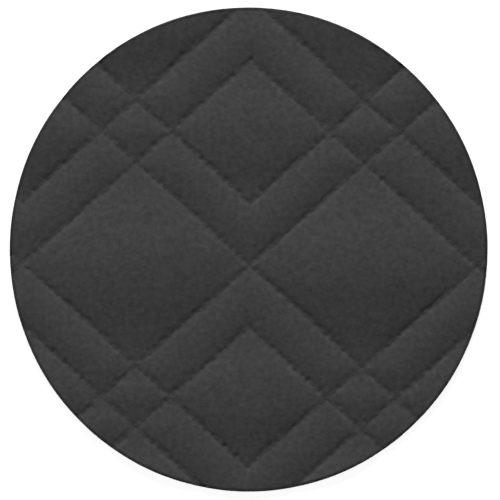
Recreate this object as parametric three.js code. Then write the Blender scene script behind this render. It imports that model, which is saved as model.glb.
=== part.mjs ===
// A round piece of quilted cover cloth, lying flat with its face up.
// Face cloth, wadding and backing are sewn through along zigzag lines, which leave puffed big diamonds,
// inner diamonds, chevron bands and small squares between them.
// Millimetres, +Z up. The origin is on the surface that the cloth lies on, under the middle of its outline.
// +Y is the way that the diamonds stand, and +X is across them.

import * as THREE from 'three';

// The cut piece
const CLOTH_WIDTH = 261; // along X
const CLOTH_LENGTH = 264.4; // along Y
const EDGE_ROUNDING = 2.4; // where the face starts to draw down to the cut edge
const EDGE_THINNING = 0.22; // share of the thickness that is lost at the cut edge

// The sewn pattern, whose lines turn on upright axes
const REPEAT_WIDTH = 124.1; // from one axis to the next
const BAND_HEIGHT = 33.8; // height of a chevron band, straight up
const LINE_SLOPE = 0.896; // rise of a stitch line for each millimetre across

// How the pattern lies on the piece
const CROSSING_X = 0.7; // the crossing nearest the middle
const CROSSING_Y = -8.7;
const PATTERN_TURN = THREE.MathUtils.degToRad(-0.44);
const PATTERN_TAPER = 0.000094; // share by which a row is wider, for each millimetre up
const PATTERN_BOW = 0.000044; // sideways bow of an upright axis, per millimetre, over its height squared
const PATTERN_CREEP = 0.000063; // upward creep of a row, per millimetre, over its height squared

// Thickness
const LINE_LIFT = 0.9; // height of the underside at a stitch line
const LINE_THICKNESS = 1.2; // the three layers, pressed together by the stitches
const SEAM_REACH = 2.8; // width of the steep side of a puff
const SEAM_RISE = 0.2; // how much the face rises over that width
const BIG_CROWN = 3.8; // how much each kind of cell puffs over that
const INNER_CROWN = 2.4;
const BAND_CROWN = 0.95;
const SQUARE_CROWN = 0.95;
const CROWN_UNEVENNESS = 0.07; // share by which cells differ

// Steps of the faces
const LONG_STEPS = 12; // along a diamond's side
const SHORT_STEPS = 6; // across a band
const SNAP_REACH = 0.7; // a corner this near the cut edge is moved onto it
const MERGE_GRID = 0.001; // corners closer than this are one
const REPEATS_AROUND = 2; // repeats to each side of the middle one

const REACH_X = CLOTH_WIDTH / 2;
const REACH_Y = CLOTH_LENGTH / 2;
const DIAMOND_HEIGHT = LINE_SLOPE * REPEAT_WIDTH;
const REPEAT_HEIGHT = DIAMOND_HEIGHT + BAND_HEIGHT;
const SQUARE_WIDTH = BAND_HEIGHT / LINE_SLOPE;

// Where the pattern's points lie, with whole numbers for the axis and the row

function crossing(axis, row) {
  return new THREE.Vector2(axis * REPEAT_WIDTH, row * REPEAT_HEIGHT);
}

function pointAbove(axis, row) {
  return crossing(axis, row).add(new THREE.Vector2(0, BAND_HEIGHT));
}

function pointBelow(axis, row) {
  return crossing(axis, row).sub(new THREE.Vector2(0, BAND_HEIGHT));
}

// The small square to the right of an axis and above a row
function squareCorners(axis, row) {
  const middle = crossing(axis + 0.5, row + 0.5);
  return {
    top: middle.clone().add(new THREE.Vector2(0, BAND_HEIGHT / 2)),
    bottom: middle.clone().sub(new THREE.Vector2(0, BAND_HEIGHT / 2)),
    left: middle.clone().sub(new THREE.Vector2(SQUARE_WIDTH / 2, 0)),
    right: middle.clone().add(new THREE.Vector2(SQUARE_WIDTH / 2, 0)),
  };
}

// The cells of one repeat. A cell has four corners: its first side runs from the first corner to the
// second, and its last side from the fourth to the third. A band's cells are open where they meet.

function cellsOfRepeat(axis, row) {
  const here = crossing(axis, row);
  const upperRight = squareCorners(axis, row);
  const upperLeft = squareCorners(axis - 1, row);
  const lowerRight = squareCorners(axis, row - 1);
  const lowerLeft = squareCorners(axis - 1, row - 1);
  const above = pointAbove(axis, row);
  const below = pointBelow(axis, row);
  const sides = { steps: LONG_STEPS, crossSteps: LONG_STEPS };
  const big = {
    ...sides,
    corners: [here, lowerRight.top, crossing(axis + 1, row), upperRight.bottom],
    crown: BIG_CROWN,
  };
  const inner = {
    ...sides,
    corners: [above, upperRight.left, pointBelow(axis, row + 1), upperLeft.right],
    crown: INNER_CROWN,
  };
  const square = {
    steps: SHORT_STEPS,
    crossSteps: SHORT_STEPS,
    corners: [upperRight.left, upperRight.bottom, upperRight.right, upperRight.top],
    crown: SQUARE_CROWN,
  };
  const bands = [
    [here, upperRight.bottom, upperRight.left, above],
    [here, upperLeft.bottom, upperLeft.right, above],
    [here, lowerRight.top, lowerRight.left, below],
    [here, lowerLeft.top, lowerLeft.right, below],
  ].map((corners) => ({
    steps: LONG_STEPS,
    crossSteps: SHORT_STEPS,
    corners,
    crown: BAND_CROWN,
    openStart: true,
  }));
  return [big, inner, square, ...bands];
}

// Shares of a side's length: a seam's width at each end, and even steps between
function sharesAlong(length, steps) {
  const seam = SEAM_REACH / length;
  const shares = [0];
  for (let step = 0; step <= steps - 2; step++) {
    shares.push(seam + ((1 - 2 * seam) * step) / (steps - 2));
  }
  shares.push(1);
  return shares;
}

// How full a puff is, by the share of the way from its side to its ridge
function fullness(share) {
  const within = Math.min(share, 1);
  return within * (2 - within);
}

// How high a cell's face stands over its stitch lines, by the shares along and across it
function puffHeight(cell, along, across, length, width) {
  const fromFirst = across * width;
  const fromLast = (1 - across) * width;
  const fromEnd = (1 - along) * length;
  const fromStart = cell.openStart ? Infinity : along * length;
  const ridge = cell.openStart ? width / 2 : length / 2;
  const nearest = Math.min(fromFirst, fromLast, fromEnd, fromStart);
  const crossFullness = fullness(Math.min(fromFirst, fromLast) / (width / 2));
  const alongFullness = fullness(Math.min(fromEnd, fromStart) / ridge);
  const middle = cell.corners[0].clone().add(cell.corners[cell.openStart ? 3 : 2]);
  const unevenness = CROWN_UNEVENNESS * Math.sin(middle.x + 2 * middle.y);
  const crown = cell.crown * (1 - unevenness) * crossFullness * alongFullness;
  return SEAM_RISE * Math.min(nearest / SEAM_REACH, 1) + crown;
}

// The place on the piece of a point of the pattern
function onCloth(point) {
  const place = new THREE.Vector2(
    point.x * (1 + PATTERN_TAPER * point.y) - PATTERN_BOW * point.y ** 2,
    point.y + PATTERN_CREEP * point.y ** 2,
  );
  place.rotateAround(new THREE.Vector2(), PATTERN_TURN);
  return place.add(new THREE.Vector2(CROSSING_X, CROSSING_Y));
}

// How far a place is in from the cut edge
function insetOf(place) {
  const middleReach = (REACH_X + REACH_Y) / 2;
  return (1 - Math.hypot(place.x / REACH_X, place.y / REACH_Y)) * middleReach;
}

// Moves a corner in or out, so that it lies that far in from the cut edge
function settle(corner, inset) {
  const middleReach = (REACH_X + REACH_Y) / 2;
  const scale = (middleReach - inset) / (middleReach - corner.inset);
  return { ...corner, x: corner.x * scale, y: corner.y * scale, inset };
}

function cornerAt(pattern, puff) {
  const place = onCloth(pattern);
  const corner = {
    x: place.x,
    y: place.y,
    inset: insetOf(place),
    under: puff > 0 ? 0 : LINE_LIFT,
    top: LINE_LIFT + LINE_THICKNESS + puff,
  };
  const near = [0, EDGE_ROUNDING].find((inset) => Math.abs(corner.inset - inset) < SNAP_REACH);
  return near === undefined ? corner : settle(corner, near);
}

// The four-sided facets of a cell, as lists of corners
function facetsOf(cell) {
  const [first, second, third, fourth] = cell.corners;
  const firstShares = sharesAlong(first.distanceTo(second), cell.steps);
  const lastShares = sharesAlong(fourth.distanceTo(third), cell.steps);
  const width = second.distanceTo(third);
  const crossShares = sharesAlong(width, cell.crossSteps);
  const rows = firstShares.map((share, step) => {
    const start = first.clone().lerp(second, share);
    const end = fourth.clone().lerp(third, lastShares[step]);
    return crossShares.map((across) => {
      const length = THREE.MathUtils.lerp(first.distanceTo(second), fourth.distanceTo(third), across);
      const along = THREE.MathUtils.lerp(share, lastShares[step], across);
      return cornerAt(start.clone().lerp(end, across), puffHeight(cell, along, across, length, width));
    });
  });
  const facets = [];
  for (let step = 0; step < cell.steps; step++) {
    for (let cross = 0; cross < cell.crossSteps; cross++) {
      const [near, far] = [rows[step], rows[step + 1]];
      facets.push([near[cross], far[cross], far[cross + 1], near[cross + 1]]);
    }
  }
  return facets;
}

// The corner where a facet's side passes a distance from the cut edge
function cornerBetween(one, other, inset) {
  const share = (inset - one.inset) / (other.inset - one.inset);
  const place = new THREE.Vector2(one.x, one.y).lerp(new THREE.Vector2(other.x, other.y), share);
  const corner = {
    x: place.x,
    y: place.y,
    inset: insetOf(place),
    under: THREE.MathUtils.lerp(one.under, other.under, share),
    top: THREE.MathUtils.lerp(one.top, other.top, share),
  };
  return settle(corner, inset);
}

// The part of a facet on one side of a distance from the cut edge: +1 keeps what is further in
function cutFacet(facet, inset, side) {
  const kept = [];
  facet.forEach((corner, index) => {
    const next = facet[(index + 1) % facet.length];
    const here = (corner.inset - inset) * side;
    const there = (next.inset - inset) * side;
    if (here >= 0) kept.push(corner);
    if (here * there < 0) kept.push(cornerBetween(corner, next, inset));
  });
  const reaches = kept.some((corner) => (corner.inset - inset) * side > 0);
  return reaches ? kept : [];
}

// At the cut edge the face has drawn down by its share of the thickness
function drawnDown(corner) {
  const share = THREE.MathUtils.clamp(1 - corner.inset / EDGE_ROUNDING, 0, 1);
  const thickness = (corner.top - corner.under) * (1 - EDGE_THINNING * share);
  return { ...corner, top: corner.under + thickness };
}

function signedArea(corners) {
  const points = corners.map((corner) => new THREE.Vector2(corner.x, corner.y));
  return THREE.ShapeUtils.area(points);
}

// The fan of triangles, from the corner that leaves its smallest triangle largest
function triangulated(facet) {
  const corners = signedArea(facet) > 0 ? facet : [...facet].reverse();
  const fans = corners.map((_, start) => {
    const turned = [...corners.slice(start), ...corners.slice(0, start)];
    return turned.slice(2).map((corner, index) => [turned[0], turned[index + 1], corner]);
  });
  const smallest = (fan) => Math.min(...fan.map(signedArea));
  return fans.reduce((best, fan) => (smallest(fan) > smallest(best) + MERGE_GRID ? fan : best));
}

// The closed body: the face, the underside below it, and the wall of the cut edge between them
function bodyFrom(facets) {
  const places = [];
  const numbers = new Map();
  const positions = [];
  const numberOf = (corner) => {
    const key = [corner.x, corner.y].map((value) => Math.round(value / MERGE_GRID)).join();
    if (!numbers.has(key)) {
      numbers.set(key, places.length);
      places.push(corner);
    }
    return numbers.get(key);
  };
  const faces = facets.flatMap(triangulated).map((triangle) => triangle.map(numberOf));
  places.forEach((corner) => positions.push(corner.x, corner.y, corner.top));
  places.forEach((corner) => positions.push(corner.x, corner.y, corner.under));
  const below = (number) => number + places.length;

  const sides = new Set();
  faces.forEach(([a, b, c]) => [`${a},${b}`, `${b},${c}`, `${c},${a}`].forEach((side) => sides.add(side)));
  const indices = [];
  faces.forEach(([a, b, c]) => {
    indices.push(a, b, c);
    indices.push(below(a), below(c), below(b));
  });
  sides.forEach((side) => {
    const [from, to] = side.split(',').map(Number);
    if (sides.has(`${to},${from}`)) return;
    indices.push(below(from), below(to), to);
    indices.push(below(from), to, from);
  });

  const geometry = new THREE.BufferGeometry();
  geometry.setAttribute('position', new THREE.Float32BufferAttribute(positions, 3));
  geometry.setIndex(indices);
  geometry.computeVertexNormals();
  return geometry;
}

function quiltedCloth() {
  const facets = [];
  for (let axis = -REPEATS_AROUND; axis <= REPEATS_AROUND; axis++) {
    for (let row = -REPEATS_AROUND; row <= REPEATS_AROUND; row++) {
      facets.push(...cellsOfRepeat(axis, row).flatMap(facetsOf));
    }
  }
  const cut = facets.map((facet) => cutFacet(facet, 0, 1)).filter((facet) => facet.length > 2);
  const inside = cut.map((facet) => cutFacet(facet, EDGE_ROUNDING, 1));
  const alongEdge = cut.map((facet) => cutFacet(facet, EDGE_ROUNDING, -1));
  const kept = [...inside, ...alongEdge].filter((facet) => facet.length > 2);
  return bodyFrom(kept.map((facet) => facet.map(drawnDown)));
}

const charcoalCloth = new THREE.MeshStandardMaterial({
  color: 0x3d3d3d,
  roughness: 0.95,
  metalness: 0,
});

const cloth = new THREE.Mesh(quiltedCloth(), charcoalCloth);
cloth.name = 'quilted_cloth';

const group = new THREE.Group();
group.add(cloth);

export default group;
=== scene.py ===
"""A round piece of quilted cover cloth, lying flat with its face up, on a plain studio stage.

The cloth is a charcoal microfibre face, thin wadding and a backing, sewn through along zigzag lines.
Everything is in metres, with the cloth on the floor at z = 0 and the diamonds standing along +Y.
"""

import math
from dataclasses import dataclass

import bmesh
import bpy
import numpy as np
from mathutils import Euler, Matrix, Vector


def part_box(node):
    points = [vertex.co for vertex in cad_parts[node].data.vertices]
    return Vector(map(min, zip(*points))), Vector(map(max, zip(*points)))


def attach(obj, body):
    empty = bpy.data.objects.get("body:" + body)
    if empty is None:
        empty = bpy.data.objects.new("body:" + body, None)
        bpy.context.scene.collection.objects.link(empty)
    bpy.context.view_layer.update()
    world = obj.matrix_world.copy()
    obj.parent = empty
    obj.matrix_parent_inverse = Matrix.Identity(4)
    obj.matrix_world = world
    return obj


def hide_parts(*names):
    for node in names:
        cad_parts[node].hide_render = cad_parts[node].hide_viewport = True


bl_info = {
    "name": "Quilted Cover Cloth",
    "version": (1, 0, 0),
    "blender": (4, 5, 0),
    "location": "View3D > Sidebar > Quilting",
    "description": "Makes a round piece of quilted cover cloth, its sewing thread and a plain stage",
    "category": "Add Mesh",
}

MM = 0.001
PICTURE_PIXELS = 500

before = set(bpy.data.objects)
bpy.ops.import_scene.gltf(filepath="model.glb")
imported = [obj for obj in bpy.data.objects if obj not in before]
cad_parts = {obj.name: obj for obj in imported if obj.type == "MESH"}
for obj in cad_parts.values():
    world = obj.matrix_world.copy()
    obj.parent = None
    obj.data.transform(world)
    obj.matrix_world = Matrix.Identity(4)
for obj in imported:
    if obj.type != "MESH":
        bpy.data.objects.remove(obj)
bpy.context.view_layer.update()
CLOTH_LOW, CLOTH_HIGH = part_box("quilted_cloth")


# Sizes and colours that can be changed


def length_of(name, description, default, **extra):
    """A property that holds a length."""
    settings = {"unit": "LENGTH", "precision": 5, "min": 0.0, **extra}
    return bpy.props.FloatProperty(name=name, description=description, default=default, **settings)


def share_of(name, description, default, **extra):
    """A property that holds a plain number."""
    settings = {"precision": 3, **extra}
    return bpy.props.FloatProperty(name=name, description=description, default=default, **settings)


def count_of(name, description, default, least):
    """A property that holds a whole number."""
    return bpy.props.IntProperty(name=name, description=description, default=default, min=least)


def angle_of(name, description, degrees):
    """A property that holds an angle."""
    return bpy.props.FloatProperty(
        name=name, description=description, default=math.radians(degrees), subtype="ANGLE"
    )


def power_of(name, description, default):
    """A property that holds a lamp's power."""
    return bpy.props.FloatProperty(name=name, description=description, default=default, unit="POWER")


def colour_of(name, description, default):
    """A property that holds a colour."""
    return bpy.props.FloatVectorProperty(
        name=name, description=description, default=default, subtype="COLOR", min=0.0, max=1.0
    )


class CutSizes(bpy.types.PropertyGroup):
    """The cut piece, and how the sewn pattern lies on it"""

    width: length_of("Width", "Width of the cut piece", CLOTH_HIGH.x - CLOTH_LOW.x)
    length: length_of("Length", "Length of the cut piece", CLOTH_HIGH.y - CLOTH_LOW.y)
    crossing_x: length_of("Crossing X", "Place of the middle crossing", 0.7 * MM, min=-1.0)
    crossing_y: length_of("Crossing Y", "Place of the middle crossing", -8.7 * MM, min=-1.0)
    turn: angle_of("Turn", "How far the pattern is turned on the piece", -0.44)
    taper: share_of("Taper", "Share by which a row is wider for each metre up", 0.094)
    bow: share_of("Bow", "Sideways bow of an axis, over its height squared", 0.044)
    creep: share_of("Creep", "Upward creep of a row, over its height squared", 0.063)


class PatternSizes(bpy.types.PropertyGroup):
    """The stitched pattern of zigzag lines"""

    repeat_width: length_of("Repeat width", "Width from one axis of points to the next", 124.1 * MM)
    band_height: length_of("Band height", "Height of a chevron band, straight up", 33.8 * MM)
    slope: share_of("Slope", "Rise of a stitch line for each metre across", 0.896)
    stitches: count_of("Stitches", "Stitches from one axis to the next", 38, 4)
    pucker: share_of("Pucker", "Length along a line over width across it, of a hole's dent", 0.46)


class PuffSizes(bpy.types.PropertyGroup):
    """How the wadding puffs between the stitch lines"""

    line_lift: length_of("Line lift", "Height of the underside at a stitch line", 0.9 * MM)
    line_thickness: length_of("Line thickness", "The layers, pressed by the stitches", 1.2 * MM)
    seam_reach: length_of("Seam reach", "Width of the rounding beside a stitch line", 1.55 * MM)
    seam_rise: length_of("Seam rise", "Rise of the face over that width", 0.16 * MM)
    crossing_ease: share_of("Crossing ease", "Share by which it is wider where lines meet", 0.8)
    crossing_reach: length_of("Crossing reach", "How far from a meeting that reaches", 6.0 * MM)
    under_reach: length_of("Under reach", "Width of the drawn-up strip below a line", 2.8 * MM)
    big_crown: length_of("Big crown", "How much a big diamond puffs over that", 3.8 * MM)
    inner_crown: length_of("Inner crown", "How much an inner diamond puffs", 2.4 * MM)
    band_crown: length_of("Band crown", "How much a chevron band puffs", 0.92 * MM)
    square_crown: length_of("Square crown", "How much a small square puffs", 0.95 * MM)
    diamond_ridge: share_of("Diamond ridge", "How round a diamond's top is", 3.0, min=0.01)
    band_ridge: share_of("Band ridge", "How round a band's top is", 0.52, min=0.01)
    square_ridge: share_of("Square ridge", "How round a small square's top is", 0.5, min=0.01)
    unevenness: share_of("Unevenness", "Share by which the cells differ", 0.07)
    softness: length_of("Softness", "How round a band's ridge turns at an axis", 4.6 * MM)
    wander: share_of("Wander", "Share by which the rounding wanders in width", 0.3)
    ripple: length_of("Ripple", "Depth of the wadding's slow ripples", 0.06 * MM)


class LayerSizes(bpy.types.PropertyGroup):
    """The layers of the cloth, as the cut edge shows them"""

    face: length_of("Face cloth", "Thickness of the face's microfibre", 0.45 * MM)
    backing: length_of("Backing cloth", "Thickness of the backing", 0.3 * MM)
    shoulder: length_of("Shoulder", "Width of the rounding at the cut edge", 1.1 * MM)
    drop: share_of("Drop", "Share of the thickness that the rounding takes off", 0.1)
    wadding_inset: length_of("Wadding inset", "How far the wadding lies in from the cut", 0.45 * MM)
    wadding_bulge: length_of("Wadding bulge", "How far the wadding bulges out of that", 0.3 * MM)
    backing_inset: length_of("Backing inset", "How far the backing lies in from the cut", 0.15 * MM)
    raggedness: length_of("Raggedness", "How far the cut wanders", 0.06 * MM)


class ThreadSizes(bpy.types.PropertyGroup):
    """The sewing thread, its needle holes, and how it draws the cloth down"""

    thickness: length_of("Thickness", "Thickness of the thread", 0.24 * MM)
    plunge: length_of("Plunge", "How far a stitch's ends dip into the cloth", 0.06 * MM)
    dent_depth: length_of("Dent depth", "How far each stitch draws the cloth down", 0.09 * MM)
    dent_reach: length_of("Dent reach", "How far from a needle hole the dent reaches", 2.2 * MM)
    hole_width: length_of("Hole width", "Width of a needle hole", 0.6 * MM)
    tuck_depth: length_of("Tuck depth", "Depth of the uneven tucks beside a line", 0.095 * MM)
    tuck_reach: length_of("Tuck reach", "How far from a line the tucks reach", 3.2 * MM)


class Finish(bpy.types.PropertyGroup):
    """Colours of the cloth and the thread"""

    cloth: colour_of("Cloth", "Colour of the face's microfibre", (0.0435, 0.0435, 0.0435))
    wadding: colour_of("Wadding", "Colour of the wadding", (0.13, 0.13, 0.13))
    backing: colour_of("Backing", "Colour of the backing", (0.05, 0.05, 0.05))
    backing_weave: length_of("Backing weave", "From one thread of the backing to the next", 0.6 * MM)
    thread: colour_of("Thread", "Colour of the thread", (0.034, 0.034, 0.034))
    mottle: share_of("Mottle", "How much the nap's shade varies", 1.14)
    # painted shade of the rounded cut edge, as the share of the colour left there
    painted_edge_shade: share_of("Edge shade", "Share of the colour left at the cut edge", 0.5)


class StageSizes(bpy.types.PropertyGroup):
    """The floor, the lights and the camera"""

    floor: colour_of("Floor", "Colour of the floor", (0.25, 0.25, 0.25))
    floor_glow: share_of("Floor glow", "Light that the floor gives off", 0.93)
    key_power: power_of("Key power", "Power of the key light", 866.0)
    key_height: angle_of("Key height", "Height of the key light over the floor", 25)
    key_side: angle_of("Key side", "How far the key stands to the left of +Y", 3.5)
    key_distance: length_of("Key distance", "Distance of the key light", 7.0)
    key_size: length_of("Key size", "Width of the key light", 2.2)
    fill_power: power_of("Fill power", "Power of the fill light", 0.92)
    fill_height: angle_of("Fill height", "Height of the fill light over the floor", 60)
    fill_side: angle_of("Fill side", "How far the fill stands to the left of +Y", 90)
    fill_distance: length_of("Fill distance", "Distance of the fill light", 0.9)
    fill_size: length_of("Fill size", "Width of the fill light", 0.3)
    sky: share_of("Sky", "Strength of the light from all round", 0.02)
    camera_distance: length_of("Camera distance", "Height of the camera", 1.6)
    outline_pixels: share_of("Outline pixels", "Width of the outline in the picture", 477.4)
    centre_x: share_of("Centre X", "Pixel of the outline's centre", 248.7)
    centre_y: share_of("Centre Y", "Pixel of the outline's centre", 249.5)


class QuiltSettings(bpy.types.PropertyGroup):
    """Everything that the quilting panel shows"""

    cut: bpy.props.PointerProperty(type=CutSizes)
    layers: bpy.props.PointerProperty(type=LayerSizes)
    pattern: bpy.props.PointerProperty(type=PatternSizes)
    puff: bpy.props.PointerProperty(type=PuffSizes)
    thread: bpy.props.PointerProperty(type=ThreadSizes)
    finish: bpy.props.PointerProperty(type=Finish)
    stage: bpy.props.PointerProperty(type=StageSizes)


def settings():
    """The sizes and colours in use."""
    return bpy.context.scene.quilt


# The stitched pattern. x is across and y is along the diamonds, from the crossing nearest the middle.


def smaller(one, other):
    """The smaller of two numbers, arrays or shader values."""
    return (one + other - abs(one - other)) / 2


def past(value, limit):
    """How far a number, array or shader value is past a limit, or 0."""
    return (abs(value - limit) + value - limit) / 2


def repeat_height():
    """Height of one repeat of the pattern: a big diamond and a chevron band."""
    pattern = settings().pattern
    return pattern.slope * pattern.repeat_width + pattern.band_height


def cloth_to_pattern(x, y):
    """The point of the pattern at a place on the piece."""
    cut = settings().cut
    x = x - cut.crossing_x
    y = y - cut.crossing_y
    across = x * math.cos(cut.turn) + y * math.sin(cut.turn)
    up = y * math.cos(cut.turn) - x * math.sin(cut.turn)
    up = up - cut.creep * up * up
    return (across + cut.bow * up * up) / (1 + cut.taper * up), up


def pattern_to_cloth(x, y):
    """The place on the piece of a point of the pattern."""
    cut = settings().cut
    across = x * (1 + cut.taper * y) - cut.bow * y * y
    up = y + cut.creep * y * y
    return (
        across * math.cos(cut.turn) - up * math.sin(cut.turn) + cut.crossing_x,
        across * math.sin(cut.turn) + up * math.cos(cut.turn) + cut.crossing_y,
    )


def seam_distances(x, y):
    """How far the nearest line and the nearest needle hole are, for the falling and the rising lines.

    The lines that fall from an axis to the next, and those that rise, each lie a band apart in every
    repeat. A line turns at the axis, so past it the distance is to its point. The way to a hole counts
    for less across the line than along it.
    """
    pattern = settings().pattern
    band = pattern.band_height
    repeat = repeat_height()
    stretch = math.hypot(1, pattern.slope)
    pitch = pattern.repeat_width * stretch / pattern.stitches
    strip = x % pattern.repeat_width
    found = []
    for way in (-1, 1):
        drop = (way * y - pattern.slope * strip) % repeat
        offset = drop - band * (drop > band / 2) - (repeat - band) * (drop > (band + repeat) / 2)
        foot = strip + offset * (pattern.slope / stretch**2)
        overshoot = stretch * (past(foot * -1, 0) + past(foot, pattern.repeat_width))
        beside = ((offset / stretch) ** 2 + overshoot**2) ** 0.5
        along = foot * (stretch / pitch)
        to_hole = pitch * abs((along + 0.5) % 1.0 - 0.5)
        found.append((beside, ((pattern.pucker * beside) ** 2 + to_hole**2) ** 0.5))
    return found


def nearest_seam(x, y):
    """How far the nearest stitch line and the nearest needle hole are, of both ways of lines."""
    falling, rising = seam_distances(x, y)
    return smaller(falling[0], rising[0]), smaller(falling[1], rising[1])


@dataclass
class Cell:
    """One puff between stitch lines. Its first side runs from corner 0 to 1, its last from 3 to 2."""

    corners: np.ndarray
    crown: float
    ridge: float
    banded: bool = False  # part of a chevron band, open at the axis
    small: bool = False


def cells_of_repeat(axis, row):
    """The cells whose crossing lies on this axis and row."""
    pattern, puff = settings().pattern, settings().puff
    width, height = pattern.repeat_width, repeat_height()
    band = pattern.band_height
    half_square = band / pattern.slope / 2

    def crossing(over, up):
        return np.array([(axis + over) * width, (row + up) * height])

    def square(over, up):
        middle = crossing(over, up)
        across, upright = np.array([half_square, 0]), np.array([0, band / 2])
        return {
            "left": middle - across,
            "right": middle + across,
            "top": middle + upright,
            "bottom": middle - upright,
        }

    here = crossing(0, 0)
    upright = np.array([0, band])
    upper_right, upper_left = square(0.5, 0.5), square(-0.5, 0.5)
    lower_right, lower_left = square(0.5, -0.5), square(-0.5, -0.5)
    big = [here, lower_right["top"], crossing(1, 0), upper_right["bottom"]]
    inner = [here + upright, upper_right["left"], crossing(0, 1) - upright, upper_left["right"]]
    tile = [upper_right[side] for side in ("left", "bottom", "right", "top")]
    bands = [
        [here, upper_right["bottom"], upper_right["left"], here + upright],
        [here, upper_left["bottom"], upper_left["right"], here + upright],
        [here, lower_right["top"], lower_right["left"], here - upright],
        [here, lower_left["top"], lower_left["right"], here - upright],
    ]
    return [
        Cell(np.array(big), puff.big_crown, puff.diamond_ridge),
        Cell(np.array(inner), puff.inner_crown, puff.diamond_ridge),
        Cell(np.array(tile), puff.square_crown, puff.square_ridge, small=True),
        *(Cell(np.array(leg), puff.band_crown, puff.band_ridge, banded=True) for leg in bands),
    ]


# The cloth's surface

REPEATS = range(-2, 3)  # axes and rows of the pattern's repeats that can reach the piece
FINE_STEPS = (76, 28, 7)  # along a cell's long side, along a short one, and near each end of it
NEAR_SEAM = 4.4 * MM  # width of the finely divided strip beside a stitch line
NEAR_WIDENING = 0.3  # how much the steps in it widen away from the line
SAME_PLACE = 0.01 * MM  # points nearer than this are joined
EDGE_SNAP = 0.12 * MM  # points this near to the start of the rounded edge are moved on to it
SHOULDER_RINGS = 4  # steps round the shoulder of the cut edge
WADDING_RINGS = 4  # steps down the wadding at the cut edge
SHARP_ANGLE = 50  # degrees past which an edge is shaded sharp
FACE_CLOTH, WADDING, BACKING_CLOTH = range(3)  # the finishes of the piece

WAVES = 7  # even waves that make up one set of ripples
WAVE_TURN = 2.4  # radians from the heading of a wave to the next
WAVE_HEIGHT = 2.6  # usual height of their sum
PULL_WAVE = 7 * MM  # size of the stretches where the stitches pull more or less
TUCK_WAVE = 5 * MM  # size of the tucks beside a stitch line
ROUNDING_WAVE = 9 * MM  # size of the waves in the rounding's width
WADDING_WAVE = 24 * MM  # size of the wadding's slow ripples
CUT_WAVE = 4 * MM  # size of the waves of the cut
CUT_SHIFT = 7 * MM  # how far on each ring of the cut's waves is from the last
SLACK_REACH = 5 * MM  # how far from a stitch line the wadding is held from rippling
UNDER_CURVE = 1.5  # how steeply the strip below a stitch line is drawn up


def shares_along(length, steps, near_steps):
    """Shares of a side's length: steps that widen away from each end, and even ones between."""
    ramp = np.linspace(0, 1, near_steps + 1)
    widening = (1 - NEAR_WIDENING) * ramp + NEAR_WIDENING * ramp**2
    near = widening * min(NEAR_SEAM, length / 3) / length
    middle = np.linspace(near[-1], 1 - near[-1], steps - 2 * near_steps + 1)
    return np.concatenate([near[:-1], middle, (1 - near[:-1])[::-1]])


def fullness(share, roundness):
    """How full a puff is, by the share of the way from its side to its ridge."""
    left = 1 - np.minimum(share, 1)
    return 1 - (np.hypot(left, roundness) - roundness) / (math.hypot(1, roundness) - roundness)


def crown_of(cell, along, across, length, width, x):
    """How high the wadding lifts a cell, by the shares along and across it."""
    puff, pattern = settings().puff, settings().pattern
    if cell.banded:
        from_axis = np.abs(x - cell.corners[0, 0])
        turn = pattern.slope * puff.softness / pattern.band_height
        across = across - turn * 4 * across * (1 - across) * np.exp(-from_axis / puff.softness)
    to_side = np.minimum(across, 1 - across) * 2
    to_end = (1 - along) * length if cell.banded else np.minimum(along, 1 - along) * length
    ridge = width / 2 if cell.banded else length / 2
    middle = cell.corners[0] + cell.corners[3 if cell.banded else 2]  # gives each cell its own fullness
    uneven = 1 - puff.unevenness * math.sin((middle[0] + 2 * middle[1]) / MM)
    full = fullness(to_side, cell.ridge) * fullness(to_end / ridge, cell.ridge)
    return cell.crown * uneven * full


def grid_of(cell, long_steps, short_steps, near_steps):
    """A cell's points in rows, as x, y and crown, each an array of steps + 1 by steps + 1."""
    first, second, third, fourth = cell.corners
    steps = short_steps if cell.small else long_steps
    cross_steps = short_steps if cell.small or cell.banded else long_steps
    first_length = np.linalg.norm(second - first)
    last_length = np.linalg.norm(third - fourth)
    width = np.linalg.norm(third - second)
    across = shares_along(width, cross_steps, near_steps)[None, :]
    on_first = shares_along(first_length, steps, near_steps)[:, None]
    on_last = shares_along(last_length, steps, near_steps)[:, None]
    start = first + on_first[..., None] * (second - first)
    end = fourth + on_last[..., None] * (third - fourth)
    place = start + across[..., None] * (end - start)
    along = on_first + across * (on_last - on_first)
    length = first_length + across * (last_length - first_length)
    crown = crown_of(cell, along, across, length, width, place[..., 0])
    return place[..., 0], place[..., 1], crown


def ripples(x, y, size):
    """Uneven waves of about that size, mostly between -1 and 1, the same at each run."""
    total = 0
    for number in range(WAVES):
        heading = WAVE_TURN * number
        turned = x * math.cos(heading) + y * math.sin(heading)
        length = size * (0.7 + 0.13 * number)
        total = total + np.sin(2 * math.pi * turned / length + number**2)
    return total / WAVE_HEIGHT


def fading(distance, reach):
    """1 at no distance, smoothly down to 0 at that reach."""
    share = np.clip(distance / reach, 0, 1)
    return 1 - share * share * (3 - 2 * share)


def drawn_down(x, y, beside, to_hole):
    """How far the stitches draw the face down, in a dent at each needle hole and tucks between."""
    thread = settings().thread
    pull = np.maximum(1 + ripples(x, y, PULL_WAVE), 0)
    dents = thread.dent_depth * pull * fading(to_hole, thread.dent_reach)
    tucks = thread.tuck_depth * ripples(x, y, TUCK_WAVE) * fading(beside, thread.tuck_reach)
    return dents + tucks


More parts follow.
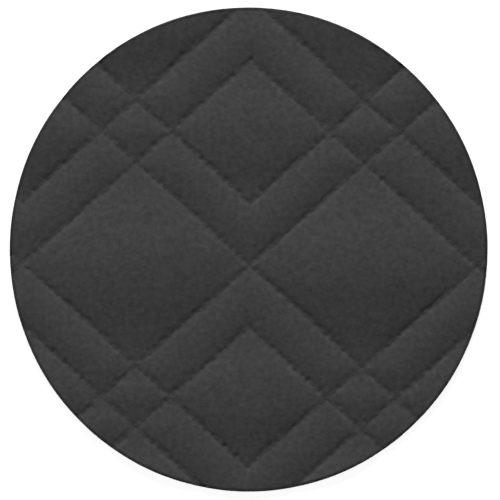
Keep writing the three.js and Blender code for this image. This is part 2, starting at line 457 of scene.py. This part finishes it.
def face_height(x, y, crown):
    """Height of the face over the floor."""
    puff = settings().puff
    falling, rising = seam_distances(x, y)
    beside, to_hole = np.minimum(falling, rising)
    ease = puff.crossing_ease * fading(np.hypot(falling[0], rising[0]), puff.crossing_reach)
    reach = puff.seam_reach * (1 + ease) * (1 + puff.wander * ripples(x, y, ROUNDING_WAVE))
    rounding = 1 - np.exp(-((beside / reach) ** 2))
    slack = 1 - np.exp(-((beside / SLACK_REACH) ** 2))
    rise = (puff.seam_rise + crown) * rounding + puff.ripple * ripples(x, y, WADDING_WAVE) * slack
    return puff.line_lift + puff.line_thickness + rise - drawn_down(x, y, beside, to_hole)


def under_height(x, y, _crown):
    """Height of the underside over the floor, which is flat but for the stitch lines."""
    puff = settings().puff
    beside, _ = nearest_seam(x, y)
    return puff.line_lift * np.clip(1 - beside / puff.under_reach, 0, 1) ** UNDER_CURVE


def cut_radius():
    """How far the cut edge is from the middle of the piece, on average."""
    cut = settings().cut
    return (cut.width + cut.length) / 4


def inset_of(x, y):
    """How far a place is in from the cut edge."""
    cut = settings().cut
    return (1 - np.hypot(2 * x / cut.width, 2 * y / cut.length)) * cut_radius()


def settle(place, inset):
    """The place moved in or out, so that it lies that far in from the cut edge."""
    radius = cut_radius()
    scale = (radius - inset) / (radius - inset_of(place.x, place.y))
    return Vector((place.x * scale, place.y * scale, place.z))


def sheet_of(height, long_steps, short_steps, near_steps):
    """One surface of the cloth, trimmed to the start of its rounded edge, as a bmesh."""
    shoulder = settings().layers.shoulder
    points, faces = [], []
    total = 0
    for axis in REPEATS:
        for row in REPEATS:
            for cell in cells_of_repeat(axis, row):
                x, y, crown = grid_of(cell, long_steps, short_steps, near_steps)
                across, up = pattern_to_cloth(x, y)
                if inset_of(across, up).max() < shoulder:
                    continue
                places = np.stack([across, up, height(x, y, crown)], axis=-1)
                numbers = total + np.arange(x.size).reshape(x.shape)
                quads = [numbers[:-1, :-1], numbers[1:, :-1], numbers[1:, 1:], numbers[:-1, 1:]]
                points.append(places.reshape(-1, 3))
                faces.append(np.stack(quads, axis=-1).reshape(-1, 4))
                total += x.size
    points, faces = np.concatenate(points), np.concatenate(faces)
    inside = inset_of(points[:, 0], points[:, 1]) > shoulder
    faces = faces[inside[faces].any(axis=1)]
    mesh = bpy.data.meshes.new("sheet")
    mesh.from_pydata(points.tolist(), [], faces.tolist())
    surface = bmesh.new()
    surface.from_mesh(mesh)
    bpy.data.meshes.remove(mesh)
    bmesh.ops.remove_doubles(surface, verts=surface.verts, dist=SAME_PLACE)
    loose = [vert for vert in surface.verts if not vert.link_faces]
    bmesh.ops.delete(surface, geom=loose, context="VERTS")
    trim(surface)
    return surface


def trim(surface):
    """Cuts the surface along the start of its rounded edge, and drops what is outside."""
    shoulder = settings().layers.shoulder
    inset = {vert: inset_of(vert.co.x, vert.co.y) - shoulder for vert in surface.verts}
    for vert in surface.verts:
        if abs(inset[vert]) < EDGE_SNAP:
            vert.co = settle(vert.co, shoulder)
            inset[vert] = 0.0
    crossed = [e for e in surface.edges if inset[e.verts[0]] * inset[e.verts[1]] < 0]
    cuts = []
    for edge in crossed:
        start, end = edge.verts
        share = inset[start] / (inset[start] - inset[end])
        _, made = bmesh.utils.edge_split(edge, start, share)
        made.co = settle(made.co, shoulder)
        inset[made] = 0.0
        cuts.append(made)
    on_line = [vert for vert in surface.verts if inset[vert] == 0.0]
    bmesh.ops.connect_verts(surface, verts=on_line)
    outside = [face for face in surface.faces if min(inset[v] for v in face.verts) < 0]
    bmesh.ops.delete(surface, geom=outside, context="FACES")


def rim_of(surface):
    """The edges at the surface's open rim."""
    return [edge for edge in surface.edges if len(edge.link_faces) == 1]


def face_up(surface, upward):
    """Turns every face to look up, or down."""
    turned = [face for face in surface.faces if (face.normal.z > 0) != upward]
    bmesh.ops.reverse_faces(surface, faces=turned)


def object_from(surface, name):
    """A new object that holds the bmesh."""
    mesh = bpy.data.meshes.new(name)
    surface.to_mesh(mesh)
    surface.free()
    mesh.shade_smooth()
    mesh.set_sharp_from_angle(angle=math.radians(SHARP_ANGLE))
    made = bpy.data.objects.new(name, mesh)
    bpy.context.scene.collection.objects.link(made)
    return made


@dataclass
class Ring:
    """One ring down the cut edge, its height from the share of the way down and a further drop."""

    inset: float
    share: float
    drop: float
    finish: int


def cut_edge_rings():
    """The rings from the shoulder down: the face cloth's cut, the wadding, and the backing's cut."""
    layers = settings().layers
    rings = []
    for step in range(1, SHOULDER_RINGS + 1):
        angle = math.pi / 2 * step / SHOULDER_RINGS
        share = layers.drop * (1 - math.cos(angle))
        rings.append(Ring(layers.shoulder * (1 - math.sin(angle)), share, 0.0, FACE_CLOTH))
    rings.append(Ring(0.0, layers.drop, layers.face, FACE_CLOTH))
    for step in range(WADDING_RINGS + 1):
        way = step / WADDING_RINGS
        inset = layers.wadding_inset - layers.wadding_bulge * 4 * way * (1 - way)
        share = layers.drop + (1 - layers.drop) * way
        drop = layers.face - (layers.face + layers.backing) * way
        rings.append(Ring(inset, share, drop, WADDING if step else FACE_CLOTH))
    rings.append(Ring(layers.backing_inset, 1.0, -layers.backing, BACKING_CLOTH))
    rings.append(Ring(layers.backing_inset, 1.0, 0.0, BACKING_CLOTH))
    return rings


def hang_cut_edge(surface):
    """Draws the rim of the face out and down over the layers of the cut edge."""
    layers = settings().layers
    rim = rim_of(surface)
    spans = {}
    for vert in {vert for edge in rim for vert in edge.verts}:
        under = under_height(*cloth_to_pattern(vert.co.x, vert.co.y), 0.0)
        spans[vert] = (vert.co.z, under)
    for number, ring in enumerate(cut_edge_rings()):
        made = bmesh.ops.extrude_edge_only(surface, edges=rim)["geom"]
        for part in made:
            if isinstance(part, bmesh.types.BMFace):
                part.material_index = ring.finish
            if isinstance(part, bmesh.types.BMVert):
                top, under = span_above(part, spans)
                wander = layers.raggedness * ripples(part.co.x, part.co.y + number * CUT_SHIFT, CUT_WAVE)
                part.co = settle(part.co, ring.inset + abs(wander))
                part.co.z = top - ring.share * (top - under) - ring.drop
        rim = rim_of(surface)


def span_above(vert, spans):
    """The heights of the face and the underside where this ring's vert was drawn out from."""
    for edge in vert.link_edges:
        other = edge.other_vert(vert)
        if other in spans:
            spans.setdefault(vert, spans[other])
            return spans[other]
    raise RuntimeError("a vert of the cut edge has nothing to hang from")


def quilted_cloth():
    """The whole piece: the face, the cut edge and the underside, as one closed mesh."""
    long_steps, short_steps, near_steps = FINE_STEPS
    cloth = sheet_of(face_height, long_steps, short_steps, near_steps)
    face_up(cloth, True)
    hang_cut_edge(cloth)
    under = sheet_of(under_height, long_steps // 3, short_steps // 3, near_steps // 2)
    face_up(under, False)
    for face in under.faces:
        face.material_index = BACKING_CLOTH
    below = bpy.data.meshes.new("under")
    under.to_mesh(below)
    under.free()
    cloth.from_mesh(below)
    bpy.data.meshes.remove(below)
    bridge = bmesh.ops.bridge_loops(cloth, edges=rim_of(cloth))["faces"]
    for face in bridge:
        face.material_index = BACKING_CLOTH
    bmesh.ops.recalc_face_normals(cloth, faces=cloth.faces)
    return object_from(cloth, "quilted_cloth_piece")


# Finishes


@dataclass
class Grain:
    """Fine unevenness of one size in a surface."""

    size: float  # width of its lumps
    detail: float  # steps of finer lumps on it
    rough: float = 0.5  # how strong each step is over the last
    squeeze: tuple = (1.0, 1.0, 1.0)  # what the size is divided by on each axis
    swirl: float = 0.0
    shade: float = 0.0  # how far it shades the colour
    relief: float = 0.0  # how high it stands


NAP_LUMPS = Grain(3.0 * MM, 3.0, 0.6, shade=1.0, relief=0.13 * MM)
NAP_FIBRES = Grain(0.8 * MM, 4.0, 0.7, shade=0.24, relief=0.06 * MM)
NAP_STRANDS = Grain(0.17 * MM, 2.0, 0.6, (1.0, 0.35, 1.0), 1.5, shade=0.5, relief=0.02 * MM)
NAP_DRIFTS = Grain(22 * MM, 2.0, shade=0.12)
WADDING_FIBRES = Grain(0.5 * MM, 4.0, 0.7, (0.7, 0.7, 3.0), 1.0, shade=0.9, relief=0.25 * MM)
WADDING_TUFTS = Grain(2.2 * MM, 2.0, shade=0.6, relief=0.2 * MM)
BACKING_SLUBS = Grain(3 * MM, 2.0, squeeze=(1.0, 0.2, 1.0), shade=0.6, relief=0.03 * MM)

HOLE_CORE = 0.4  # share of a needle hole's width at which its painted shade and its dip start to fade
HOLE_RIM = 1.4  # share of its width at which its painted shade and its dip end
# painted shade in a needle hole, as the share of the colour that it takes off
PAINTED_HOLE_SHADE = 0.02
HOLE_RELIEF = 0.02 * MM
GROOVE_REACH = 0.7 * MM  # how far from a stitch line its painted shade reaches
# painted shade in the groove along a stitch line, as the share of the colour that it takes off
PAINTED_GROOVE_SHADE = 0.1
EDGE_START = 2.1 * MM  # how far in from the cut its painted shade starts
EDGE_FULL = 1.2 * MM  # how far in it is full
LIGHTEST = 2.0  # share of the face's colour in its lightest places
WEAVE_RELIEF = 0.08 * MM
TWIST = 1.2 * MM  # a turn of the thread's twist is 0.63 of this

MIX_SHARE, MIX_ONE, MIX_OTHER, MIX_COLOUR = 0, 6, 7, 2  # sockets of a Mix node, whose names repeat


class Value:
    """An output of a shader node that takes part in Python sums."""

    def __init__(self, finish, output):
        self.finish = finish
        self.output = output

    def worked(self, operation, *values):
        """A Math node on these values and numbers."""
        return self.finish.node("ShaderNodeMath", 0, dict(enumerate(values)), operation=operation)

    def __add__(self, other):
        return self.worked("ADD", self, other)

    def __radd__(self, other):
        return self.worked("ADD", other, self)

    def __sub__(self, other):
        return self.worked("SUBTRACT", self, other)

    def __rsub__(self, other):
        return self.worked("SUBTRACT", other, self)

    def __mul__(self, other):
        return self.worked("MULTIPLY", self, other)

    def __rmul__(self, other):
        return self.worked("MULTIPLY", other, self)

    def __truediv__(self, other):
        return self.worked("DIVIDE", self, other)

    def __mod__(self, other):
        return self.worked("FLOORED_MODULO", self, other)

    def __pow__(self, other):
        return self.worked("POWER", self, other)

    def __gt__(self, other):
        return self.worked("GREATER_THAN", self, other)

    def __abs__(self):
        return self.worked("ABSOLUTE", self)

    def sine(self):
        return self.worked("SINE", self)

    def between(self, low, high):
        """0 at low and 1 at high, smoothly."""
        sockets = {"Value": self, "From Min": low, "From Max": high}
        return self.finish.node("ShaderNodeMapRange", "Result", sockets, interpolation_type="SMOOTHSTEP")


class FinishNodes:
    """The node tree of one finish."""

    def __init__(self, name):
        self.material = bpy.data.materials.new(name)
        self.material.use_nodes = True
        self.tree = self.material.node_tree
        self.tree.nodes.clear()

    def node(self, kind, output, sockets, **options):
        """A node of that kind, with its options and then its sockets set. Gives that output, if any."""
        node = self.tree.nodes.new(kind)
        for name, option in options.items():
            setattr(node, name, option)
        for socket, value in sockets.items():
            if isinstance(value, Value):
                self.tree.links.new(value.output, node.inputs[socket])
            else:
                node.inputs[socket].default_value = value
        return None if output is None else Value(self, node.outputs[output])

    def place(self):
        """x, y and the whole place of a point on the piece."""
        whole = self.node("ShaderNodeTexCoord", "Object", {})
        x = self.node("ShaderNodeSeparateXYZ", "X", {"Vector": whole})
        y = self.node("ShaderNodeSeparateXYZ", "Y", {"Vector": whole})
        return x, y, whole

    def noise(self, place, grain):
        """Even noise about 0.5, as lumpy as the grain."""
        squeezed = self.node("ShaderNodeMapping", "Vector", {"Vector": place, "Scale": grain.squeeze})
        sockets = {
            "Vector": squeezed,
            "Scale": 1 / grain.size,
            "Detail": grain.detail,
            "Roughness": grain.rough,
            "Distortion": grain.swirl,
        }
        return self.node("ShaderNodeTexNoise", "Fac", sockets)

    def mixed(self, share, one, other):
        """A colour between two."""
        sockets = {MIX_SHARE: share, MIX_ONE: one, MIX_OTHER: other}
        return self.node("ShaderNodeMix", MIX_COLOUR, sockets, data_type="RGBA")

    def relief(self, height, strength=1.0, distance=1.0):
        """The way that the surface faces, with that height on it."""
        sockets = {"Strength": strength, "Distance": distance, "Height": height}
        return self.node("ShaderNodeBump", "Normal", sockets)

    def finished(self, sockets):
        """The material, with its shader's sockets set."""
        shader = self.node("ShaderNodeBsdfPrincipled", "BSDF", sockets)
        self.node("ShaderNodeOutputMaterial", None, {"Surface": shader})
        return self.material


def shaded(colour, share=1.0):
    """That share of a colour, solid."""
    return (*(part * share for part in colour), 1.0)


def microfibre():
    """Matt charcoal microfibre, with a short brushed nap and needle holes along the stitch lines, and
    painted shade in the holes, along the stitch lines' grooves and at the cut edge.
    """
    finish, thread, cut = settings().finish, settings().thread, settings().cut
    cloth = FinishNodes("charcoal_microfibre")
    x, y, place = cloth.place()
    lumps = cloth.noise(place, NAP_LUMPS)
    fibres = cloth.noise(place, NAP_FIBRES)
    strands = cloth.noise(place, NAP_STRANDS)
    drifts = cloth.noise(place, NAP_DRIFTS)
    shade = 1
    for noise, grain in ((lumps, NAP_LUMPS), (fibres, NAP_FIBRES), (strands, NAP_STRANDS)):
        shade = shade + grain.shade * finish.mottle * (noise - 0.5)
    shade = shade * (1 + NAP_DRIFTS.shade * (drifts - 0.5))
    beside, to_hole = nearest_seam(*cloth_to_pattern(x, y))
    # hole: where the needle holes are, for their painted shade and their real dip
    hole = 1 - to_hole.between(HOLE_CORE * thread.hole_width, HOLE_RIM * thread.hole_width)
    # Painted shade along the grooves of the stitch lines
    painted_groove_mask = 1 - beside.between(0.0, GROOVE_REACH)
    out = ((2 * x / cut.width) ** 2 + (2 * y / cut.length) ** 2) ** 0.5
    # edge: the painted shade of the rounded cut edge, from EDGE_START to EDGE_FULL in from the cut
    edge = ((out - 1) * cut_radius()).between(-EDGE_START, -EDGE_FULL)
    # Takes off the painted shade of the needle holes and of the grooves along the stitch lines
    shade = shade * (1 - PAINTED_HOLE_SHADE * hole) * (1 - PAINTED_GROOVE_SHADE * painted_groove_mask)
    shade = shade * (1 - (1 - finish.painted_edge_shade) * edge)
    colour = cloth.mixed(shade / LIGHTEST, shaded(finish.cloth, 0.0), shaded(finish.cloth, LIGHTEST))
    nap = NAP_LUMPS.relief * lumps + NAP_FIBRES.relief * fibres + NAP_STRANDS.relief * strands
    return cloth.finished({
        "Base Color": colour,
        "Roughness": 0.82 + 0.2 * (fibres - 0.5),
        "Normal": cloth.relief(nap - HOLE_RELIEF * hole),
        "Specular IOR Level": 0.2,
        "Sheen Weight": 0.1,
        "Sheen Roughness": 0.5,
    })


def wadding():
    """Grey polyester wadding, whose fibres lie in thin layers."""
    finish = settings().finish
    cloth = FinishNodes("grey_wadding")
    _, _, place = cloth.place()
    fibres = cloth.noise(place, WADDING_FIBRES)
    tufts = cloth.noise(place, WADDING_TUFTS)
    shade = (0.25 + WADDING_FIBRES.shade * fibres + WADDING_TUFTS.shade * tufts).between(0.55, 1.5)
    height = WADDING_FIBRES.relief * fibres + WADDING_TUFTS.relief * tufts
    return cloth.finished({
        "Base Color": cloth.mixed(shade, shaded(finish.wadding, 0.25), shaded(finish.wadding, 2.0)),
        "Roughness": 0.95,
        "Normal": cloth.relief(height),
        "Specular IOR Level": 0.1,
    })


def backing_cloth():
    """Plain-woven charcoal polyester, each thread over one and under the next, with painted shade
    between the threads.
    """
    finish = settings().finish
    cloth = FinishNodes("charcoal_backing")
    x, y, place = cloth.place()
    warp = (x * (math.pi / finish.backing_weave)).sine()
    weft = (y * (math.pi / finish.backing_weave)).sine()
    warp_on_top = warp * weft > 0
    weave = abs(warp) * warp_on_top + abs(weft) * (1 - warp_on_top)
    slubs = cloth.noise(place, BACKING_SLUBS)
    # Lighter on the threads' crests and darker where they dip under, a painted shade of the weave, with
    # the slubs' own tone
    shade = (0.35 + 0.45 * weave + BACKING_SLUBS.shade * (slubs - 0.5)).between(0.0, 1.0)
    return cloth.finished({
        "Base Color": cloth.mixed(shade, shaded(finish.backing, 0.4), shaded(finish.backing, 1.7)),
        "Roughness": 0.75 - 0.15 * weave,
        "Normal": cloth.relief(WEAVE_RELIEF * weave + BACKING_SLUBS.relief * slubs),
        "Specular IOR Level": 0.3,
    })


def polyester_thread():
    """Dark twisted sewing thread, with painted shade in the grooves of its twist."""
    finish = settings().finish
    thread = FinishNodes("charcoal_thread")
    _, _, place = thread.place()
    sockets = {"Vector": place, "Scale": 1 / TWIST}
    twist = thread.node("ShaderNodeTexWave", "Fac", sockets, bands_direction="DIAGONAL")
    return thread.finished({
        # darker in the twist's grooves and lighter on its ridges, a painted shade
        "Base Color": thread.mixed(twist, shaded(finish.thread, 0.7), shaded(finish.thread, 1.4)),
        "Roughness": 0.6,
        "Normal": thread.relief(twist, strength=0.4, distance=0.05 * MM),
        "Specular IOR Level": 0.4,
    })


def floor_finish():
    """Plain white paper, lit through."""
    stage = settings().stage
    return FinishNodes("white_floor").finished({
        "Base Color": shaded(stage.floor),
        "Roughness": 0.9,
        "Specular IOR Level": 0.1,
        "Emission Color": (1.0, 1.0, 1.0, 1.0),
        "Emission Strength": stage.floor_glow,
    })


# The sewing thread

LINE_AXES = range(-2, 2)  # axes that lines start from to reach the piece
LINE_ROWS = range(-3, 4)  # rows that they start from
STITCH_POINTS = 7  # along a stitch
STITCH_GAP = 0.04  # share of a stitch's length that is free at each of its ends
STITCH_MARGIN = 0.8 * MM  # the least that a stitch lies in from the cut edge
THREAD_SIDES = 6  # of the thread's section
THREAD_SINK = 0.3  # share of its radius that the thread lies in the cloth


def stitch_lines():
    """The lines from one axis to the next, as (start, end) in the pattern."""
    pattern = settings().pattern
    width, band = pattern.repeat_width, pattern.band_height
    fall = pattern.slope * width
    lines = []
    for axis in LINE_AXES:
        for row in LINE_ROWS:
            level = row * repeat_height()
            for start, way in ((level, -1), (level - band, -1), (level, 1), (level + band, 1)):
                one = np.array([axis * width, start])
                lines.append((one, one + np.array([width, way * fall])))
    return lines


def stitch_tube(centres, radius, sides):
    """Points of a closed tube's rings round its centres, and its faces."""
    ahead = np.gradient(centres, axis=0)
    ahead /= np.linalg.norm(ahead, axis=1)[:, None]
    beside = np.cross(ahead, [0, 0, 1.0])
    beside /= np.linalg.norm(beside, axis=1)[:, None]
    over = np.cross(beside, ahead)
    angles = np.linspace(0, 2 * math.pi, sides, endpoint=False)
    rings = [
        centres + radius * (math.cos(angle) * beside + math.sin(angle) * over) for angle in angles
    ]
    points = np.stack(rings, axis=1).reshape(-1, 3)
    faces = []
    for ring in range(len(centres) - 1):
        for side in range(sides):
            here, there = ring * sides + side, ring * sides + (side + 1) % sides
            faces.append((here, there, there + sides, here + sides))
    last = (len(centres) - 1) * sides
    faces.append(tuple(reversed(range(sides))))
    faces.append(tuple(last + side for side in range(sides)))
    return points, faces


def sewing_thread():
    """Every stitch on the face and on the underside, joined as one mesh."""
    pattern, puff, thread = settings().pattern, settings().puff, settings().thread
    radius = thread.thickness / 2
    way = np.linspace(0, 1, STITCH_POINTS)
    dip = (2 * way - 1) ** 4
    points, faces = [], []
    total = 0
    for start, end in stitch_lines():
        for stitch in range(pattern.stitches):
            share = (stitch + STITCH_GAP + (1 - 2 * STITCH_GAP) * way) / pattern.stitches
            place = start + share[:, None] * (end - start)
            x, y = pattern_to_cloth(place[:, 0], place[:, 1])
            if inset_of(x, y).min() < STITCH_MARGIN:
                continue
            proud = -THREAD_SINK * radius - thread.plunge * dip
            over = face_height(place[:, 0], place[:, 1], 0.0) + proud
            under = puff.line_lift - proud
            for z in (over, under):
                made, sides = stitch_tube(np.stack([x, y, z], axis=1), radius, THREAD_SIDES)
                points.append(made)
                faces.extend(tuple(total + corner for corner in side) for side in sides)
                total += len(made)
    mesh = bpy.data.meshes.new("sewing_thread")
    mesh.from_pydata(np.concatenate(points).tolist(), [], faces)
    mesh.shade_smooth()
    made = bpy.data.objects.new("sewing_thread", mesh)
    bpy.context.scene.collection.objects.link(made)
    return made


# The stage

FLOOR_REACH = 6.0  # metres from its middle to its sides
FLOOR_GAP = 0.02 * MM  # to the cloth on it
SENSOR_WIDTH = 36.0  # millimetres
FARTHEST = 20.0  # metres that the camera sees


def floor():
    """A wide flat floor just under the cloth."""
    mesh = bpy.data.meshes.new("floor")
    corners = [(-1, -1), (1, -1), (1, 1), (-1, 1)]
    places = [(x * FLOOR_REACH, y * FLOOR_REACH, 0) for x, y in corners]
    mesh.from_pydata(places, [], [(0, 1, 2, 3)])
    made = bpy.data.objects.new("floor", mesh)
    bpy.context.scene.collection.objects.link(made)
    mesh.materials.append(floor_finish())
    made.location.z = -FLOOR_GAP


def sky():
    """Soft even light from all round."""
    stage = settings().stage
    world = bpy.data.worlds.new("sky")
    bpy.context.scene.world = world
    world.use_nodes = True
    background = world.node_tree.nodes["Background"]
    background.inputs["Color"].default_value = (1.0, 1.0, 1.0, 1.0)
    background.inputs["Strength"].default_value = stage.sky


def soft_light(name, power, size, distance, height, side):
    """A square lamp that faces the cloth from that height and from that far left of +Y."""
    lamp = bpy.data.lights.new(name, "AREA")
    lamp.shape = "SQUARE"
    lamp.size = size
    lamp.energy = power
    made = bpy.data.objects.new(name, lamp)
    away = Vector((0, distance, 0))
    away.rotate(Euler((height, 0, 0)))
    away.rotate(Euler((0, 0, side)))
    made.location = away
    made.rotation_euler = away.to_track_quat("Z", "Y").to_euler()
    made.visible_camera = False
    bpy.context.scene.collection.objects.link(made)


def camera():
    """The camera straight above, with the outline at its place and size in the picture."""
    stage, cut = settings().stage, settings().cut
    pixel = cut.width / stage.outline_pixels
    middle = PICTURE_PIXELS / 2
    eye = bpy.data.cameras.new("camera")
    eye.sensor_width = SENSOR_WIDTH
    eye.lens = SENSOR_WIDTH * stage.camera_distance / (PICTURE_PIXELS * pixel)
    eye.clip_end = FARTHEST
    made = bpy.data.objects.new("camera", eye)
    made.location = (
        (middle - stage.centre_x) * pixel,
        (stage.centre_y - middle) * pixel,
        stage.camera_distance,
    )
    bpy.context.scene.collection.objects.link(made)
    bpy.context.scene.camera = made


# The operators and the panel


class QUILT_OT_cloth(bpy.types.Operator):
    """Make the round piece of quilted cloth"""

    bl_idname = "quilt.cloth"
    bl_label = "Quilted cloth"

    def execute(self, context):
        cloth = quilted_cloth()
        for finish in (microfibre(), wadding(), backing_cloth()):
            cloth.data.materials.append(finish)
        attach(cloth, "root")
        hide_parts("quilted_cloth")
        return {"FINISHED"}


class QUILT_OT_thread(bpy.types.Operator):
    """Sew the stitches into the quilted cloth"""

    bl_idname = "quilt.thread"
    bl_label = "Sewing thread"

    def execute(self, context):
        thread = sewing_thread()
        thread.data.materials.append(polyester_thread())
        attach(thread, "root")
        return {"FINISHED"}


class QUILT_OT_stage(bpy.types.Operator):
    """Lay the floor, and set the lights and the camera"""

    bl_idname = "quilt.stage"
    bl_label = "Stage"

    def execute(self, context):
        stage = settings().stage
        floor()
        sky()
        for name in ("key", "fill"):
            facts = ("power", "size", "distance", "height", "side")
            soft_light(name, *(getattr(stage, f"{name}_{fact}") for fact in facts))
        camera()
        context.scene.view_settings.view_transform = "Standard"
        return {"FINISHED"}


class VIEW3D_PT_quilt(bpy.types.Panel):
    """The quilting tools and their sizes"""

    bl_label = "Quilting"
    bl_space_type = "VIEW_3D"
    bl_region_type = "UI"
    bl_category = "Quilting"

    def draw(self, context):
        layout = self.layout
        for operator in OPERATORS:
            layout.operator(operator.bl_idname)
        groups = context.scene.quilt
        for name in ("cut", "layers", "pattern", "puff", "thread", "finish", "stage"):
            box = layout.box()
            box.label(text=name.capitalize())
            group = getattr(groups, name)
            for item in group.__annotations__:
                box.prop(group, item)


GROUPS = (
    CutSizes,
    PatternSizes,
    PuffSizes,
    LayerSizes,
    ThreadSizes,
    Finish,
    StageSizes,
    QuiltSettings,
)
OPERATORS = (QUILT_OT_cloth, QUILT_OT_thread, QUILT_OT_stage)


def register():
    """Makes the tools and their sizes known to Blender."""
    for item in (*GROUPS, *OPERATORS, VIEW3D_PT_quilt):
        bpy.utils.register_class(item)
    bpy.types.Scene.quilt = bpy.props.PointerProperty(type=QuiltSettings)


def unregister():
    """Takes them away again."""
    del bpy.types.Scene.quilt
    for item in reversed((*GROUPS, *OPERATORS, VIEW3D_PT_quilt)):
        bpy.utils.unregister_class(item)


def main():
    """Makes the cloth, its thread and the stage."""
    register()
    bpy.ops.quilt.cloth()
    bpy.ops.quilt.thread()
    bpy.ops.quilt.stage()


if __name__ == "__main__":
    main()
